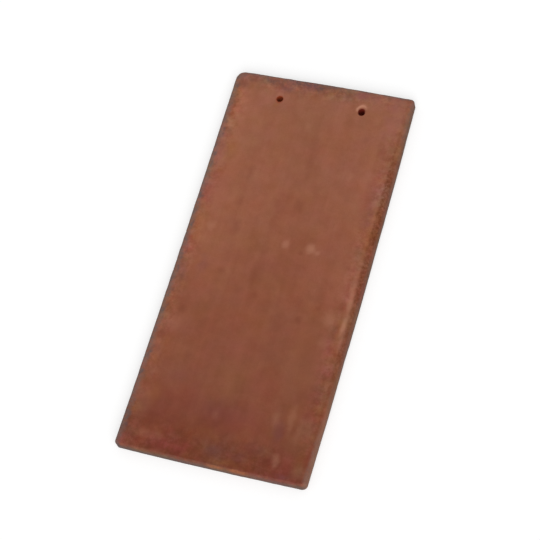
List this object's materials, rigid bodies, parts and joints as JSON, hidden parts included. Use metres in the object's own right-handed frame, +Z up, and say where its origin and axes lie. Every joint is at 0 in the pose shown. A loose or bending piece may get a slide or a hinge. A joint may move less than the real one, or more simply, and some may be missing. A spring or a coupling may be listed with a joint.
{
  "type": "eaves starter tile",
  "caption": "Flat oblong fired-clay roof tile with soft worn edges and nail holes near its head, laid as the first course at the eaves.",
  "frame": {"origin": "middle of the underside, where the tile rests on its bed", "axes": "+Z up out of the weather face, +Y from the exposed foot to the nailed head, +X to the right seen with the head up"},
  "size_m": [0.1734, 0.381, 0.0127],
  "materials": {
    "fired_clay": "matte"
  },
  "bodies": {
    "root": {"tile_body": "fired_clay"}
  },
  "joints": []
}
